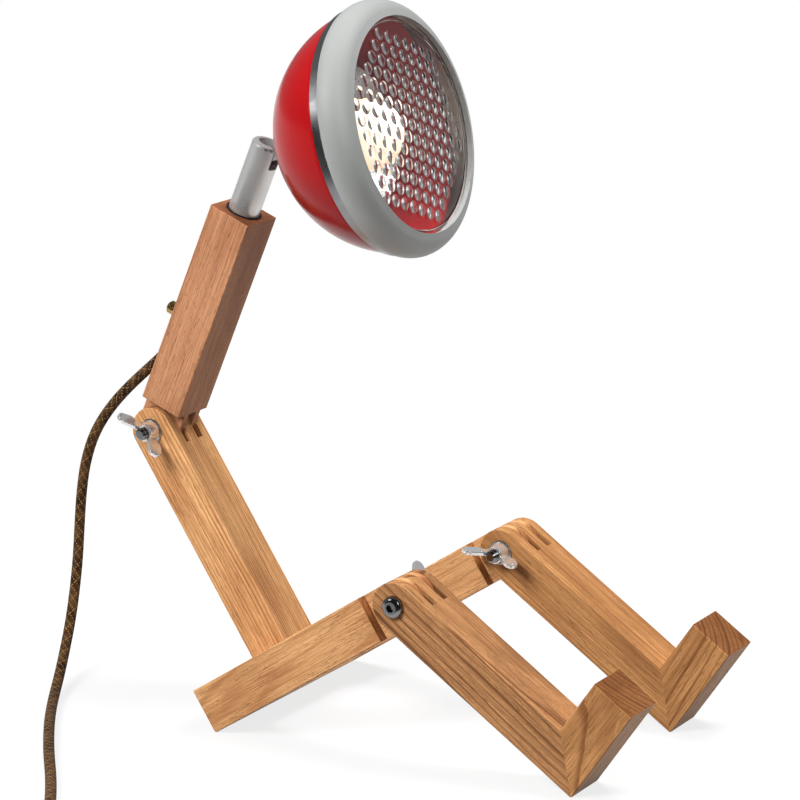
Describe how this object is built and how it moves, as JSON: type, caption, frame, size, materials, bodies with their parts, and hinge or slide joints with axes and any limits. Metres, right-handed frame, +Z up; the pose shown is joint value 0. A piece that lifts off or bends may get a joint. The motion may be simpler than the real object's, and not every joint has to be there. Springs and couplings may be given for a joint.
{
  "type": "desk lamp",
  "caption": "Desk lamp shaped like a seated figure: jointed wooden bars with wing nuts, a slotted metal neck and a round lamp head with a bumped clear lens.",
  "frame": {"origin": "on the table under the middle of the seated figure, without its cord", "axes": "+Z up, +X the way the figure faces, +Y its left side"},
  "size_m": [0.4507, 0.4746, 0.4581],
  "materials": {
    "pale_wood": "clear satin varnish",
    "brown_wood": "clear satin varnish",
    "bolt_steel": "bright zinc plate",
    "neck_steel": "satin",
    "black_plastic": "matt",
    "red_paint": "gloss enamel",
    "trim_chrome": "polished",
    "bezel_satin": "satin silver paint",
    "gasket_rubber": "matt",
    "lens_clear": "clear, moulded",
    "reflector_aluminium": "bright anodised",
    "holder_black": "matt",
    "brass": "polished",
    "bulb_glass": "frosted",
    "cord_textile": "braided textile"
  },
  "bodies": {
    "base": {"right_thigh_bar": "pale_wood", "left_thigh_bar": "pale_wood", "hip_cross_block": "pale_wood", "hip_dowels": "pale_wood", "torso_dowels": "pale_wood", "lower_torso_block": "pale_wood", "elbow_bolt": "bolt_steel", "elbow_washer": "bolt_steel", "cord_tube": "cord_textile", "cord_coil": "cord_textile", "coil_tie": "black_plastic", "cord_tail": "cord_textile", "plug_body": "black_plastic", "plug_pins": "brass"},
    "upper_torso": {"upper_torso_block": "pale_wood", "neck_bush": "black_plastic", "switch_body": "holder_black", "switch_bush": "brass", "switch_mounting_nut": "brass", "cord_gland": "black_plastic"},
    "neck": {"neck_tube": "neck_steel", "head_pivot_pin": "neck_steel"},
    "head": {"head_stem": "neck_steel", "head_shell": "red_paint", "trim_band": "trim_chrome", "bezel_ring": "bezel_satin", "lens_gasket": "gasket_rubber", "front_lens": "lens_clear", "stem_nut": "brass", "lamp_holder": "holder_black", "reflector": "reflector_aluminium", "holder_ring": "holder_black", "bulb_cap": "brass", "bulb_globe": "bulb_glass"},
    "right_leg": {"right_shin_bar": "brown_wood", "right_foot_block": "brown_wood", "right_foot_dowels": "pale_wood", "right_knee_bolt": "bolt_steel", "right_knee_washer": "bolt_steel"},
    "left_leg": {"left_shin_bar": "brown_wood", "left_foot_block": "brown_wood", "left_foot_dowels": "pale_wood", "left_knee_bolt": "bolt_steel", "left_knee_washer": "bolt_steel"},
    "elbow_nut": {"elbow_wing_nut": "bolt_steel"},
    "right_knee_nut": {"right_knee_wing_nut": "bolt_steel"},
    "left_knee_nut": {"left_knee_wing_nut": "bolt_steel"},
    "knob": {"switch_knob": "brass"}
  },
  "joints": [
    {"name": "elbow", "type": "hinge", "parent": "base", "child": "upper_torso", "pos_m": [-0.18268, 0, 0.17045], "axis": [0, -1, 0], "range_deg": [-42, 150], "deforming": ["cord_tube"]},
    {"name": "right_knee", "type": "hinge", "parent": "base", "child": "right_leg", "pos_m": [0.03691, -0.07, 0.10129], "axis": [0, -1, 0], "range_deg": [-30, 160]},
    {"name": "left_knee", "type": "hinge", "parent": "base", "child": "left_leg", "pos_m": [0.03691, 0.07, 0.10129], "axis": [0, -1, 0], "range_deg": [-30, 160]},
    {"name": "neck_swivel", "type": "hinge", "parent": "upper_torso", "child": "neck", "pos_m": [-0.12139, 0, 0.3177], "axis": [0.3843, 0, 0.9232], "range_deg": [-165, 165]},
    {"name": "head_tilt", "type": "hinge", "parent": "neck", "child": "head", "pos_m": [-0.1064, 0, 0.3537], "axis": [0, 1, 0], "range_deg": [-50, 40]},
    {"name": "elbow_nut_turn", "type": "hinge", "parent": "base", "child": "elbow_nut", "pos_m": [-0.18268, -0.0235, 0.17045], "axis": [0, -1, 0], "continuous": true},
    {"name": "right_knee_nut_turn", "type": "hinge", "parent": "right_leg", "child": "right_knee_nut", "pos_m": [0.03691, -0.0465, 0.10129], "axis": [0, 1, 0], "continuous": true},
    {"name": "left_knee_nut_turn", "type": "hinge", "parent": "left_leg", "child": "left_knee_nut", "pos_m": [0.03691, 0.0465, 0.10129], "axis": [0, -1, 0], "continuous": true},
    {"name": "switch_turn", "type": "hinge", "parent": "upper_torso", "child": "knob", "pos_m": [-0.17494, 0, 0.2489], "axis": [-0.9232, 0, 0.3843], "continuous": true}
  ]
}
